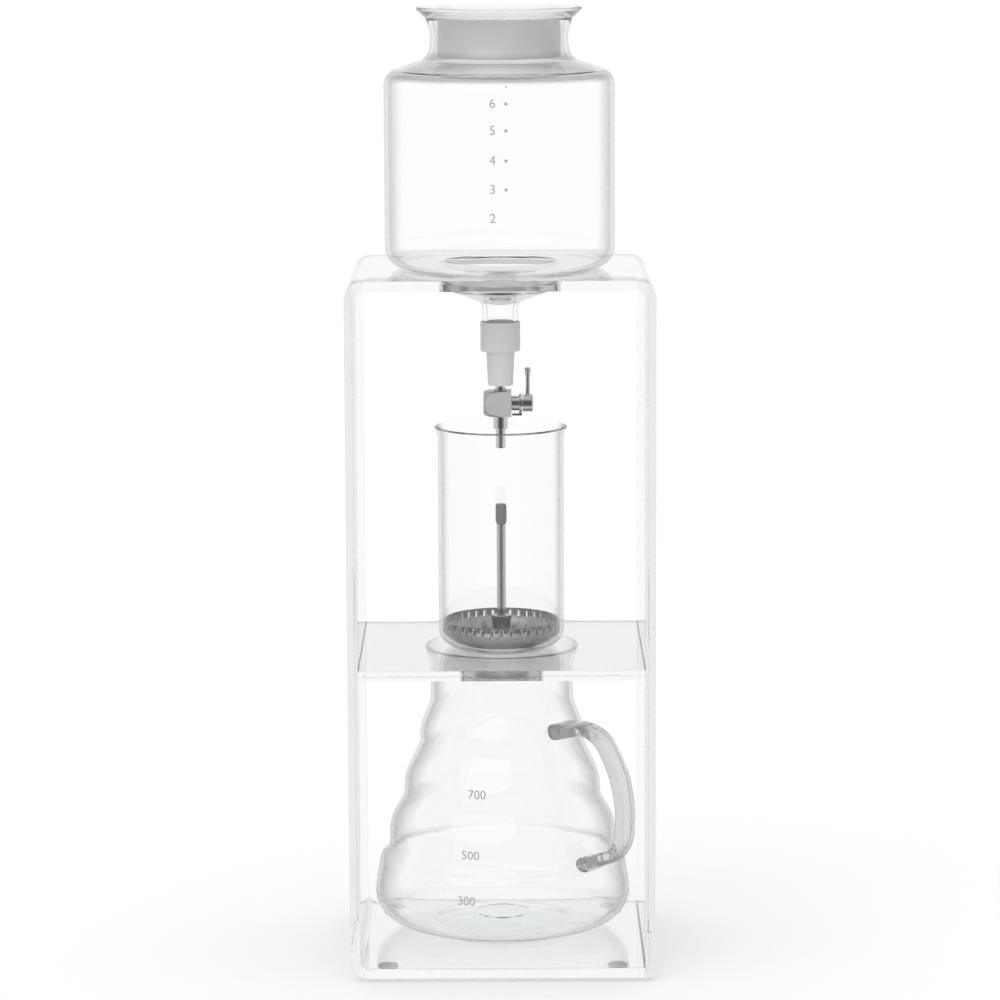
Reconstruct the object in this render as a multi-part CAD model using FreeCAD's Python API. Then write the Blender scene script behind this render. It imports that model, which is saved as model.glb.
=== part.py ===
"""Cold drip coffee tower.

A clear acrylic stand holds three glass vessels one above the other: a lidded water bowl whose
silicone-sealed drip valve passes through the top panel, a dripper with a stainless strainer on the
middle shelf, and a rippled server on the base. Millimetres, +Z up, -Y is the front. The origin lies
on the table under the middle of the footprint.
"""
import FreeCAD
import Part
import math
import os
from FreeCAD import Vector

# ---------------------------------------------------------------- driving dimensions

# Clearances
seat_gap = 0.2          # a loose glass piece over what it stands on
fit = 0.05              # radial, between turned metal pieces
grip_gap = 0.1          # silicone round glass
plug_gap = 0.3          # lid plug inside the neck
past = 1.0              # how far a cutting shape runs beyond the faces that it opens

# Stand: one bent sheet, open at the front and back, with a shelf glued across it. The server
# sets its width, and what stands and hangs in it sets its height.
stand_depth = 130.0
server_side_gap = 5.2   # server to the stand's sides
sheet = 5.0
bend_radius = 4.0       # inside a bend
glue_line = 0.15        # where the end of the base meets the right-hand side
corner_round = 2.0      # the glued side's bottom outer edge
foot_radius = 5.0
foot_height = 2.0
foot_taper = 0.8
foot_from_side = 18.0   # foot's centre to the stand's side
foot_from_front = 13.0

# Water bowl
bowl_hole_gap = 2.2     # well to the hole in the top panel
bowl_radius = 56.2
bowl_wall = 2.2
bowl_corner = 10.5      # round of the bottom edge
shoulder_corner = 8.0
shoulder_height = 94.5  # underside to where side and shoulder would meet
shoulder_rise = 7.5     # from there to the foot of the neck
neck_foot_swell = 3.0   # neck's foot outside its waist
neck_foot_round = 5.0
waist_radius = 32.4
waist_rise = 9.0
waist_round = 18.0
lip_flare = 3.4         # lip outside the waist
lip_rise = 10.0
well_radius = 27.3      # the step that drops through the hole
well_depth = 10.5
well_round = 5.0
funnel_drop = 7.0
funnel_round = 3.5
tube_radius = 8.8
tube_length = 21.5

# Lid
lid_overhang = 4.4      # outside the bowl's lip
lid_edge = 1.4
lid_rise = 5.2          # lip to the top of the lid
lid_top = 3.0
lid_seat_width = 0.5    # flat rim outside the bowl's lip
plug_length = 20.0

# Silicone joint between the bowl's tube and the drip valve
skirt_height = 12.5
skirt_wall = 0.85
joint_plug_height = 10.0
joint_web = 2.0
joint_neck = 7.0        # radius under the web
joint_tip = 6.1
joint_length = 17.0
joint_mouth = 4.2
joint_funnel = 19.0     # depth of the funnel from the plug's top

# Drip valve
inlet_radius = 2.4
inlet_bore = 1.5
inlet_show = 2.7        # bare metal between joint and body
collar_radius = 3.0
collar_height = 1.3
valve_left = 8.4        # body, either side of the bore
valve_right = 5.3
valve_size = 12.4       # height and depth of the square body
valve_end_radius = 5.6  # the body's left end is turned: a flat, a steep cone and a shallow one
valve_turn_radius = 7.9
valve_steep = 3.3
valve_shallow = 5.1
thread_depth = 2.0
passage = 1.3
plug_radius = 3.55
plug_left = 5.6
plug_right = 4.0
seal_width = 1.0
seal_depth = 0.9
seal_offset = 2.7       # seals either side of the cross bore
stem_radius = 1.75
gland_radius = 3.75
gland_length = 3.75
washer_radius = 5.0
washer_thickness = 1.5
stop_width = 4.0        # the washer's bent tongue, which holds it still against the body
stop_thickness = 1.1
stop_reach = 3.4
hub_gap = 0.25
hub_radius = 4.5
hub_length = 5.2
hub_chamfer = 0.6
recess_radius = 2.4
recess_depth = 1.6
screw_radius = 1.0
screw_head = 2.2
screw_head_height = 1.2
screw_length = 3.0
lever_radius = 1.1
lever_tip_radius = 1.75
lever_tip_length = 5.0
lever_tip_chamfer = 0.7
lever_reach = 17.7      # spindle axis to the lever's tip
lever_root = 2.8        # spindle axis to the lever's root
nozzle_spigot = 2.2
nozzle_collar = 3.55
nozzle_collar_length = 6.5
nozzle_radius = 2.5
nozzle_length = 15.9
nozzle_entry = 10.5     # how far the nozzle reaches into the dripper

# Dripper
dripper_hole_gap = 1.3  # step to the hole in the shelf
dripper_radius = 31.05
dripper_flare = 1.6     # rim outside the side
dripper_wall = 1.8
dripper_height = 109.2
flare_height = 4.5
flare_round = 4.0
dripper_corner = 9.0
dripper_step = 19.2     # radius of the step in the shelf's hole
step_depth = 3.4
spout_radius = 4.0
spout_cone = 1.4
spout_below = 0.8       # spout's tip under the shelf

# Strainer
strainer_clear = 0.45   # round the strainer, inside the dripper
strainer_height = 11.5
strainer_sheet = 0.7
strainer_bevel = 5.3
strainer_lip = 2.8      # floor ring that carries the plate
plate_thickness = 0.6
slot_count = 28
slot_width = 0.9
slot_inner = 6.5
slot_rim = 4.75         # slots' outer ends to the plate's edge
wall_slot_count = 40
wall_slot_width = 1.0
wall_slot_height = 3.0
wall_slot_above = 1.2   # under the strainer's top edge
ring_width = 1.3
ring_height = 1.2
boss_foot = 3.2
boss_top = 5.2
boss_height = 12.0
rod_radius = 2.25
rod_pin = 1.2
rod_pin_length = 5.0
rod_length = 45.5
knob_radius = 2.7
knob_waist = 2.3
knob_height = 10.0
knob_foot = 1.5
knob_chamfer = 1.0

# Server, from the bottom up
server_back = 20.0      # its axis behind the middle of the stand
server_wall = 2.0
rim_clearance = 2.7     # under the shelf
punt_radius = 13.0
punt_height = 4.6
foot_ring_radius = 36.0
server_corner_rise = 7.5
server_corner = 14.0
server_radius = 63.9
server_side = 14.5
skirt_inset = 2.6
skirt_rise = 14.4
skirt_round = 40.0
ripples = (             # groove radius and rise, crest radius and rise
    (56.9, 4.6, 56.5, 14.0),
    (49.5, 12.3, 48.9, 10.7),
    (41.0, 16.5, 41.4, 7.0),
)
crest_round = 18.0
groove_round = 3.0
server_neck = 35.7
neck_rise = 14.5
neck_round = 9.0
neck_length = 15.3
rim_flare = 2.7         # rim outside the neck
rim_rise = 8.0
rim_round = 8.0

# Server's handle: a flattened glass rod in an upright plane
handle_turn = -42.0     # degrees from the right towards the front
handle_thickness = 5.5
handle_width = 12.5
handle_round = 2.0
handle_bite = 1.7       # how far the top end starts inside the neck
handle_top_rise = 106.6
handle_corners = (      # radius outside the server's widest, rise, and round
    (1.6, 112.8, 20.0),
    (20.7, 82.0, 50.0),
    (18.9, 48.0, 18.0),
    (-13.9, 34.5),
)

# ---------------------------------------------------------------- levels worked out from them

inner_half = server_radius + server_side_gap
stand_width = 2 * (inner_half + sheet)
base_bottom = foot_height
base_top = base_bottom + sheet
server_seat = base_top + seat_gap
ripple_rise = sum(groove_rise + crest_rise for _, groove_rise, _, crest_rise in ripples)
server_skirt = server_seat + server_corner_rise + server_side + skirt_rise
server_top = server_skirt + ripple_rise + neck_rise + neck_length + rim_rise
shelf_bottom = server_top + rim_clearance
shelf_top = shelf_bottom + sheet
dripper_seat = shelf_top + seat_gap
dripper_top = dripper_seat + dripper_height
nozzle_tip = dripper_top - nozzle_entry
valve_bottom = nozzle_tip + nozzle_length
spindle_z = valve_bottom + valve_size / 2
valve_top = valve_bottom + valve_size
joint_bottom = valve_top + inlet_show
tube_end = joint_bottom + joint_length + joint_web + grip_gap
bowl_seat = tube_end + tube_length + funnel_drop + well_depth
panel_top = bowl_seat - seat_gap
lip_radius = waist_radius + lip_flare
lip_top = bowl_seat + shoulder_height + shoulder_rise + waist_rise + lip_rise

strainer_seat = dripper_seat + dripper_wall + seat_gap
strainer_radius = dripper_radius - dripper_wall - strainer_clear
plate_radius = strainer_radius - strainer_sheet - strainer_bevel - fit
plate_bottom = strainer_seat + strainer_sheet
plate_top = plate_bottom + plate_thickness
boss_end = plate_top + boss_height
rod_end = boss_end + rod_length

gland_end = valve_right + gland_length
hub_start = gland_end + washer_thickness + hub_gap
hub_end = hub_start + hub_length
stem_end = hub_end - recess_depth - fit

tower_y = (stand_depth / 2 - server_back - server_radius) / 2

ORIGIN = Vector(0, 0, 0)
UP = Vector(0, 0, 1)


# ---------------------------------------------------------------- helpers

def bent_wire(corners):
    """A wire in the XZ plane through corners (x, z), or (x, z, radius) where the corner is rounded."""
    points = [Vector(corner[0], 0, corner[1]) for corner in corners]
    edges = []
    last = points[0]
    for before, point, after, corner in zip(points, points[1:], points[2:], corners[1:]):
        if len(corner) == 2:
            edges.append(Part.makeLine(last, point))
            last = point
            continue
        back = (before - point).normalize()
        ahead = (after - point).normalize()
        half_angle = back.getAngle(ahead) / 2
        reach = corner[2] / math.tan(half_angle)
        inward = (back + ahead).normalize()
        middle = point + inward * (corner[2] / math.sin(half_angle) - corner[2])
        start = point + back * reach
        end = point + ahead * reach
        edges.append(Part.makeLine(last, start))
        edges.append(Part.Arc(start, middle, end).toShape())
        last = end
    edges.append(Part.makeLine(last, points[-1]))
    return Part.Wire(edges)


def spun(face):
    return face.revolve(ORIGIN, UP, 360)


def turned(*corners):
    """A solid of revolution from the closed outline through the corners, the first of them sharp."""
    return spun(Part.Face(bent_wire(corners + corners[:1])))


def walled(corners, wall):
    """A flat face beside the wire through the corners: on its right, or on its left if wall is negative."""
    sharp_joins = 2
    return bent_wire(corners).makeOffset2D(-wall, join=sharp_joins, fill=True, openResult=True)


def rod(radius, start, length, direction=UP):
    return Part.makeCylinder(radius, length, start, direction)


def edges_along_y(shape, x, z):
    """The shape's edges that run from front to back at x, z."""
    close = 0.01
    found = []
    for edge in shape.Edges:
        if all(abs(end.X - x) < close and abs(end.Z - z) < close for end in edge.Vertexes):
            found.append(edge)
    return found


def lying(shape):
    """Turn a piece made round +Z to lie along +X on the spindle's axis."""
    shape.rotate(ORIGIN, Vector(0, 1, 0), 90)
    shape.translate(UP * spindle_z)
    return shape


def save(name, *solids):
    shape = solids[0] if len(solids) == 1 else Part.makeCompound(list(solids))
    shape.translate(Vector(0, tower_y, 0))
    shape.exportStep("parts/" + name + ".step")


# ---------------------------------------------------------------- stand

def stand_frame():
    half = stand_width / 2
    outer = bend_radius + sheet
    path = (
        (inner_half - glue_line, base_bottom),
        (-half, base_bottom, outer),
        (-half, panel_top, outer),
        (half, panel_top, outer),
        (half, base_bottom),
    )
    face = walled(path, sheet)
    frame = face.extrude(Vector(0, stand_depth, 0))
    frame.translate(Vector(0, -stand_depth / 2, 0))
    frame = frame.makeFillet(corner_round, edges_along_y(frame, half, base_bottom))
    hole = well_radius + bowl_hole_gap
    return frame.cut(rod(hole, UP * (panel_top - sheet - past), sheet + 2 * past))


def middle_shelf():
    corner = Vector(-inner_half, -stand_depth / 2, shelf_bottom)
    shelf = Part.makeBox(2 * inner_half, stand_depth, sheet, corner)
    hole = dripper_step + dripper_hole_gap
    return shelf.cut(rod(hole, UP * (shelf_bottom - past), sheet + 2 * past))


def bumper_feet():
    feet = []
    for side in (-1, 1):
        for end in (-1, 1):
            foot = turned((0, 0), (foot_radius - foot_taper, 0), (foot_radius, foot_taper),
                          (foot_radius, foot_height), (0, foot_height))
            x = side * (stand_width / 2 - foot_from_side)
            y = end * (stand_depth / 2 - foot_from_front)
            foot.translate(Vector(x, y, 0))
            feet.append(foot)
    return feet


# ---------------------------------------------------------------- water bowl and lid

def reservoir_bowl():
    shoulder = bowl_seat + shoulder_height
    neck_foot = shoulder + shoulder_rise
    well_bottom = bowl_seat - well_depth
    outline = (
        (lip_radius, lip_top),
        (waist_radius, neck_foot + waist_rise, waist_round),
        (waist_radius + neck_foot_swell, neck_foot, neck_foot_round),
        (bowl_radius, shoulder, shoulder_corner),
        (bowl_radius, bowl_seat, bowl_corner),
        (well_radius, bowl_seat),
        (well_radius, well_bottom, well_round),
        (tube_radius, well_bottom - funnel_drop, funnel_round),
        (tube_radius, tube_end),
    )
    bowl = spun(walled(outline, bowl_wall))
    above_flat_lip = rod(lip_radius, UP * lip_top, bowl_wall)
    return bowl.cut(above_flat_lip)


def reservoir_lid():
    seat = lip_top + seat_gap
    top = seat + lid_rise
    edge = lip_radius + lid_overhang
    plug = waist_radius - bowl_wall - plug_gap
    return turned(
        (0, top), (edge, top), (edge, top - lid_edge), (lip_radius + lid_seat_width, seat),
        (plug, seat), (plug, seat - plug_length), (plug - bowl_wall, seat - plug_length),
        (plug - bowl_wall, top - lid_top), (0, top - lid_top),
    )


def silicone_joint():
    web_top = tube_end - grip_gap
    web_bottom = web_top - joint_web
    outside = tube_radius + grip_gap
    inside = tube_radius - bowl_wall - grip_gap
    plug_top = web_top + joint_plug_height
    bore = inlet_radius + fit
    return turned(
        (bore, joint_bottom), (joint_tip, joint_bottom), (joint_neck, web_bottom),
        (outside + skirt_wall, web_bottom), (outside + skirt_wall, web_top + skirt_height),
        (outside, web_top + skirt_height), (outside, web_top), (inside, web_top),
        (inside, plug_top), (joint_mouth, plug_top), (bore, plug_top - joint_funnel),
    )


# ---------------------------------------------------------------- drip valve

def valve_inlet():
    top = tube_end - grip_gap + joint_plug_height - joint_funnel
    return turned(
        (inlet_bore, valve_top - thread_depth), (inlet_radius, valve_top - thread_depth),
        (inlet_radius, valve_top), (collar_radius, valve_top), (collar_radius, valve_top + collar_height),
        (inlet_radius, valve_top + collar_height), (inlet_radius, top), (inlet_bore, top),
    )


def valve_body():
    """A square bar, its left end turned to a rounded chamfer, bored across for the plug."""
    half = valve_size / 2
    length = valve_left + valve_right
    block = Part.makeBox(length, valve_size, valve_size, Vector(-valve_left, -half, spindle_z - half))
    diagonal = half * math.sqrt(2)
    turn_end = valve_steep - valve_left
    turning = turned(
        (0, -valve_left), (valve_end_radius, -valve_left), (valve_turn_radius, turn_end),
        (diagonal, turn_end + valve_shallow), (diagonal, valve_right + past), (0, valve_right + past),
    )
    body = block.common(lying(turning))
    plug_hole = lying(rod(plug_radius + fit, UP * (-plug_left - fit), plug_left + valve_right + past))
    inlet_hole = rod(inlet_radius + fit, UP * (valve_top - thread_depth), thread_depth + past)
    nozzle_hole = rod(nozzle_spigot + fit, UP * (valve_bottom - past), thread_depth + past)
    water_way = rod(passage, UP * valve_bottom, valve_size)
    return body.cut([plug_hole, inlet_hole, nozzle_hole, water_way])


def valve_plug():
    """The turning plug and its stem: cross-bored for the water, grooved for two seals."""
    plug = rod(plug_radius, UP * -plug_left, plug_left + plug_right)
    stem = rod(stem_radius, UP * plug_right, stem_end - plug_right)
    piece = plug.fuse(stem).removeSplitter()
    for groove in seal_places():
        ring = rod(plug_radius + past, UP * groove, seal_width)
        core = rod(plug_radius - seal_depth, UP * groove, seal_width)
        piece = piece.cut(ring.cut(core))
    screw_hole = rod(screw_radius + fit, UP * (stem_end - screw_length), screw_length)
    piece = lying(piece.cut(screw_hole))
    return piece.cut(rod(passage, UP * (spindle_z - valve_size), 2 * valve_size))


def seal_places():
    return (-seal_offset - seal_width / 2, seal_offset - seal_width / 2)


def plug_seals():
    seals = []
    for groove in seal_places():
        inner = plug_radius - seal_depth + fit
        low = groove + fit
        high = groove + seal_width - fit
        seals.append(lying(turned((inner, low), (plug_radius, low), (plug_radius, high), (inner, high))))
    return seals


def gland_nut():
    bore = stem_radius + fit
    inner_end = plug_right + fit
    return lying(turned(
        (bore, inner_end), (plug_radius, inner_end), (plug_radius, valve_right),
        (gland_radius, valve_right), (gland_radius, gland_end), (bore, gland_end),
    ))


def stem_washer():
    """A washer with a tongue below, bent back towards the body."""
    bore = stem_radius + fit
    end = gland_end + washer_thickness
    washer = lying(turned(
        (bore, gland_end), (washer_radius, gland_end), (washer_radius, end), (bore, end),
    ))
    tongue_top = spindle_z - gland_radius - fit
    tongue_height = washer_radius + stop_thickness - gland_radius - fit
    upright = Part.makeBox(washer_thickness, stop_width, tongue_height,
                           Vector(gland_end, -stop_width / 2, tongue_top - tongue_height))
    bent = Part.makeBox(stop_reach, stop_width, stop_thickness,
                        Vector(gland_end - stop_reach, -stop_width / 2, tongue_top - tongue_height))
    return washer.fuse([upright, bent]).removeSplitter()


def lever_hub():
    bore = stem_radius + fit
    hub = lying(turned(
        (bore, hub_start), (hub_radius, hub_start), (hub_radius, hub_end - hub_chamfer),
        (hub_radius - hub_chamfer, hub_end), (recess_radius, hub_end),
        (recess_radius, hub_end - recess_depth), (bore, hub_end - recess_depth),
    ))
    return hub.cut(rod(lever_radius + fit, lever_place() + UP * lever_root, hub_radius))


def lever_place():
    return Vector((hub_start + hub_end) / 2, 0, spindle_z)


def lever_arm():
    lever = turned(
        (0, lever_root + fit), (lever_radius, lever_root + fit),
        (lever_radius, lever_reach - lever_tip_length),
        (lever_tip_radius, lever_reach - lever_tip_chamfer),
        (lever_tip_radius - lever_tip_chamfer, lever_reach), (0, lever_reach),
    )
    lever.translate(lever_place())
    return lever


def lever_screw():
    seat = hub_end - recess_depth + fit
    tip = seat + fit - screw_length
    return lying(turned(
        (0, tip), (screw_radius, tip), (screw_radius, seat), (screw_head, seat),
        (screw_head, seat + screw_head_height), (0, seat + screw_head_height),
    ))


def outlet_nozzle():
    bottom = valve_bottom - nozzle_collar_length
    return turned((inlet_bore, nozzle_tip), (nozzle_radius, nozzle_tip), (nozzle_radius, bottom),
                  (nozzle_collar, bottom), (nozzle_collar, valve_bottom), (nozzle_spigot, valve_bottom),
                  (nozzle_spigot, valve_bottom + thread_depth), (inlet_bore, valve_bottom + thread_depth))


# ---------------------------------------------------------------- dripper and strainer

def dripper_glass():
    outline = (
        (dripper_radius + dripper_flare, dripper_top),
        (dripper_radius, dripper_top - flare_height, flare_round),
        (dripper_radius, dripper_seat, dripper_corner),
        (dripper_step, dripper_seat),
        (dripper_step, dripper_seat - step_depth),
        (spout_radius, dripper_seat - step_depth - spout_cone),
        (spout_radius, shelf_bottom - spout_below),
    )
    return spun(walled(outline, dripper_wall))


def strainer_band():
    outline = (
        (strainer_radius, strainer_seat + strainer_height),
        (strainer_radius, strainer_seat + strainer_bevel),
        (strainer_radius - strainer_bevel, strainer_seat),
        (plate_radius - strainer_lip, strainer_seat),
    )
    band = spun(walled(outline, strainer_sheet))
    top = strainer_seat + strainer_height - wall_slot_above
    slot = Part.makeBox(2 * strainer_radius, wall_slot_width, wall_slot_height,
                        Vector(0, -wall_slot_width / 2, top - wall_slot_height))
    return band.cut(repeated(slot, wall_slot_count))


def strainer_plate():
    plate = rod(plate_radius, UP * plate_bottom, plate_thickness)
    slot_length = plate_radius - slot_rim - slot_inner
    slot = Part.makeBox(slot_length, slot_width, plate_thickness + 2 * past,
                        Vector(slot_inner, -slot_width / 2, plate_bottom - past))
    return plate.cut(repeated(slot, slot_count))


def repeated(cutter, count):
    cutters = []
    for i in range(count):
        copy = cutter.copy()
        copy.rotate(ORIGIN, UP, 360 * i / count)
        cutters.append(copy)
    return cutters


def strainer_ring():
    ring_top = plate_top + ring_height
    return turned((plate_radius - ring_width, plate_top), (plate_radius, plate_top),
                  (plate_radius, ring_top), (plate_radius - ring_width, ring_top))


def rod_boss():
    bore = rod_pin + fit
    depth = boss_end - rod_pin_length - fit
    return turned((0, plate_top), (boss_foot, plate_top), (boss_top, boss_end), (bore, boss_end),
                  (bore, depth), (0, depth))


def strainer_rod():
    return turned((0, boss_end - rod_pin_length), (rod_pin, boss_end - rod_pin_length), (rod_pin, boss_end),
                  (rod_radius, boss_end), (rod_radius, rod_end), (rod_pin, rod_end),
                  (rod_pin, rod_end + rod_pin_length), (0, rod_end + rod_pin_length))


def rod_knob():
    bore = rod_pin + fit
    depth = rod_end + rod_pin_length + fit
    top = rod_end + knob_height
    return turned((0, depth), (bore, depth), (bore, rod_end), (knob_waist, rod_end),
                  (knob_radius, rod_end + knob_foot), (knob_radius, top - knob_chamfer),
                  (knob_waist, top), (0, top))


# ---------------------------------------------------------------- server

def server_outline():
    """The outside, from the middle of the bottom up to the rim."""
    side_bottom = server_seat + server_corner_rise
    outline = [
        (0, server_seat + punt_height),
        (punt_radius, server_seat + punt_height),
        (foot_ring_radius, server_seat),
        (server_radius, side_bottom, server_corner),
        (server_radius, side_bottom + server_side, skirt_round),
        (server_radius - skirt_inset, server_skirt),
    ]
    height = server_skirt
    for groove, groove_rise, crest, crest_rise in ripples:
        height += groove_rise
        outline.append((groove, height, groove_round))
        height += crest_rise
        outline.append((crest, height, crest_round))
    outline += [
        (server_neck, height + neck_rise, neck_round),
        (server_neck, height + neck_rise + neck_length, rim_round),
        (server_neck + rim_flare, server_top),
    ]
    return outline


def server_glass():
    server = spun(walled(server_outline(), -server_wall))
    server.translate(Vector(0, server_back, 0))
    return server


def server_handle():
    path = [(server_neck - handle_bite, server_seat + handle_top_rise)]
    for beyond, rise, *turn in handle_corners:
        path.append((server_radius + beyond, server_seat + rise, *turn))
    strap = walled(path, handle_thickness)
    handle = strap.extrude(Vector(0, handle_width, 0))
    handle.translate(Vector(0, -handle_width / 2, 0))
    along = [edge for edge in handle.Edges if edge.Length > handle_width + fit]
    handle = handle.makeChamfer(handle_round, along)
    outline = server_outline()
    core = spun(Part.Face(bent_wire([(0, server_top)] + outline + [(0, server_top)])))
    handle.rotate(ORIGIN, UP, handle_turn)
    handle = handle.cut(core)
    handle.translate(Vector(0, server_back, 0))
    return handle


os.makedirs("parts", exist_ok=True)
save("stand_frame", stand_frame())
save("middle_shelf", middle_shelf())
save("bumper_feet", *bumper_feet())
save("reservoir_bowl", reservoir_bowl())
save("reservoir_lid", reservoir_lid())
save("silicone_joint", silicone_joint())
save("valve_inlet", valve_inlet())
save("valve_body", valve_body())
save("valve_plug", valve_plug())
save("plug_seals", *plug_seals())
save("gland_nut", gland_nut())
save("stem_washer", stem_washer())
save("lever_hub", lever_hub())
save("lever_arm", lever_arm())
save("lever_screw", lever_screw())
save("outlet_nozzle", outlet_nozzle())
save("dripper_glass", dripper_glass())
save("strainer_band", strainer_band())
save("strainer_plate", strainer_plate())
save("strainer_ring", strainer_ring())
save("rod_boss", rod_boss())
save("strainer_rod", strainer_rod())
save("rod_knob", rod_knob())
save("server_glass", server_glass())
save("server_handle", server_handle())
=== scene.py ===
# %% [markdown]
# # A cold drip coffee tower
# Ice water in the lidded bowl falls drop by drop through a metal valve onto ground coffee, and the
# coffee gathers in the rippled server below. Nearly every piece is clear: blown glass on a stand of
# heat-bent acrylic. So this lesson is mostly about walls of an even thickness, softly rounded rims,
# and what a clear surface shows at its edges.
#
# The engineering model is the fixed frame. Every piece below is fitted to it and rides on its bodies.

# %% Load the frame
import math

import bmesh
import bpy
from mathutils import Matrix, Vector


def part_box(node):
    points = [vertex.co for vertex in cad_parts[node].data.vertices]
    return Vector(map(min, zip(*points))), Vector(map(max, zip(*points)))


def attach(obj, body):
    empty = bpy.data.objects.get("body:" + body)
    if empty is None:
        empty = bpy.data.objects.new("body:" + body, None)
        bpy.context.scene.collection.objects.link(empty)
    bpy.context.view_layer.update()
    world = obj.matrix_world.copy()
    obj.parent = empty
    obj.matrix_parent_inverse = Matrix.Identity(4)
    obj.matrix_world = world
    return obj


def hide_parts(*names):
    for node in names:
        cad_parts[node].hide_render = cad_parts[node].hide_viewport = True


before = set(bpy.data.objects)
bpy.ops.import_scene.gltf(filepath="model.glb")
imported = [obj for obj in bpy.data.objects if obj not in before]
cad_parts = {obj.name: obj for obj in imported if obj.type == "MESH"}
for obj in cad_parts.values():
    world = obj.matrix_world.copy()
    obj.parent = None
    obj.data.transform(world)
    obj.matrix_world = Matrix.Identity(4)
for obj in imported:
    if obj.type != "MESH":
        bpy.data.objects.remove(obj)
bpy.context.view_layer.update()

MM = 0.001

# %% [markdown]
# ## Camera
# A long lens two metres away keeps the uprights of the stand nearly parallel. It looks down by nine
# degrees, so that each rim and each shelf shows as a thin ellipse or band, and it is rolled by a
# quarter of a degree.

# %% Camera
camera = bpy.data.objects.new("camera", bpy.data.cameras.new("camera"))
camera.data.lens = 147.31
camera.location = (0.0009, -2.0, 0.5449)
camera.rotation_euler = (math.radians(80.925), math.radians(0.25), 0)
bpy.context.scene.collection.objects.link(camera)
bpy.context.scene.camera = camera
print("lens", camera.data.lens, "mm")

# %% [markdown]
# ## Helpers for materials
# Colours are written as the sRGB hex values that a picture editor shows, and one function turns them
# into the linear numbers that a renderer works with. A second one adds one node to a material: an input
# is given either a number or the output of an earlier node, which is then linked to it. A third starts
# an empty material.

# %% Material helpers
def linear(colour):
    """Linear RGBA of an sRGB hex value such as '#C8C8C8'."""
    def channel(text):
        share = int(text, 16) / 255
        return share / 12.92 if share <= 0.04045 else ((share + 0.055) / 1.055) ** 2.4
    return tuple(channel(colour[i:i + 2]) for i in (1, 3, 5)) + (1.0,)


def add(tree, kind, inputs=(), **settings):
    """Add a shader node with its settings, and return it with each named input set or linked."""
    node = tree.nodes.new("ShaderNode" + kind)
    for name, value in settings.items():
        setattr(node, name, value)
    for name, value in dict(inputs).items():
        if isinstance(value, bpy.types.NodeSocket):
            tree.links.new(value, node.inputs[name])
        else:
            node.inputs[name].default_value = value
    return node


def blank(name):
    """A new material with no nodes yet, and its tree."""
    material = bpy.data.materials.new(name)
    material.use_nodes = True
    material.node_tree.nodes.clear()
    return material, material.node_tree


print("mid grey is", round(linear("#808080")[0], 3), "in linear light")

# %% [markdown]
# ## Patterns measured in millimetres
# A noise texture's scale counts its blotches per unit of length, and this scene is in metres. So one
# function takes the size of the real feature in millimetres, and reads it in object coordinates,
# which stay with a piece wherever it moves. A second one turns such a pattern into small hills of a
# given height, also in millimetres.

# %% Pattern helpers
def mottle(tree, size, stretch=(1, 1, 1), detail=2.0):
    """Noise whose blotches are size mm across, stretched along the axes."""
    place = add(tree, "TexCoord").outputs["Object"]
    scaled = add(tree, "Mapping", {"Vector": place, "Scale": tuple(1 / s for s in stretch)})
    noise = {"Vector": scaled.outputs["Vector"], "Scale": 1 / (size * MM), "Detail": detail}
    return add(tree, "TexNoise", noise).outputs["Fac"]


def hills(tree, pattern, height):
    """A bump of height mm from a pattern."""
    bump = {"Height": pattern, "Distance": height * MM}
    return add(tree, "Bump", bump).outputs["Normal"]


def between(tree, pattern, low, high, start=0.0, end=1.0):
    """A number from low to high as the pattern goes from start to end."""
    stops = {"Value": pattern, "From Min": start, "From Max": end, "To Min": low, "To Max": high}
    return add(tree, "MapRange", stops).outputs["Result"]


def tinted(tree, pattern, low, high):
    """A colour from hex low to hex high as the pattern goes from 0 to 1."""
    stops = {"Fac": pattern, "Color1": linear(low), "Color2": linear(high)}
    return add(tree, "MixRGB", stops).outputs["Color"]


print("a noise texture with blotches of 1 mm has a scale of", round(1 / MM))

# %% [markdown]
# ## Clear materials
# Clear glass is known by its outlines. Where a wall turns away from the eye, light has a long and
# bent way through it, and the outline goes grey, while the middle of the wall stays almost white.
# Layer Weight gives how far a surface is turned away, and a steep curve of it paints a grey shade on
# only that rim. A level face is always seen at a slant but is no outline, so it is left out by where it
# points.

# %% Clear shader
BAND_FADE = 3.0                                 # a band of painted shade fades out over this much on either side, mm
LEVEL_START, LEVEL_END = 0.88, 0.97             # the upward share of a normal from which a face is level


def banded(tree, colour, height, half, band):
    """Multiply a colour by hex band, a painted shade, within half mm of a height."""
    place = add(tree, "TexCoord").outputs["Object"]
    level = add(tree, "SeparateXYZ", {"Vector": place}).outputs["Z"]
    away = add(tree, "Math", {0: level, 1: height * MM}, operation="SUBTRACT").outputs["Value"]
    away = add(tree, "Math", {0: away}, operation="ABSOLUTE").outputs["Value"]
    share = between(tree, away, 1.0, 0.0, start=half * MM, end=(half + BAND_FADE) * MM)
    stops = {"Fac": share, "Color1": colour, "Color2": linear(band)}
    return add(tree, "MixRGB", stops, blend_type="MULTIPLY").outputs["Color"]


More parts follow.
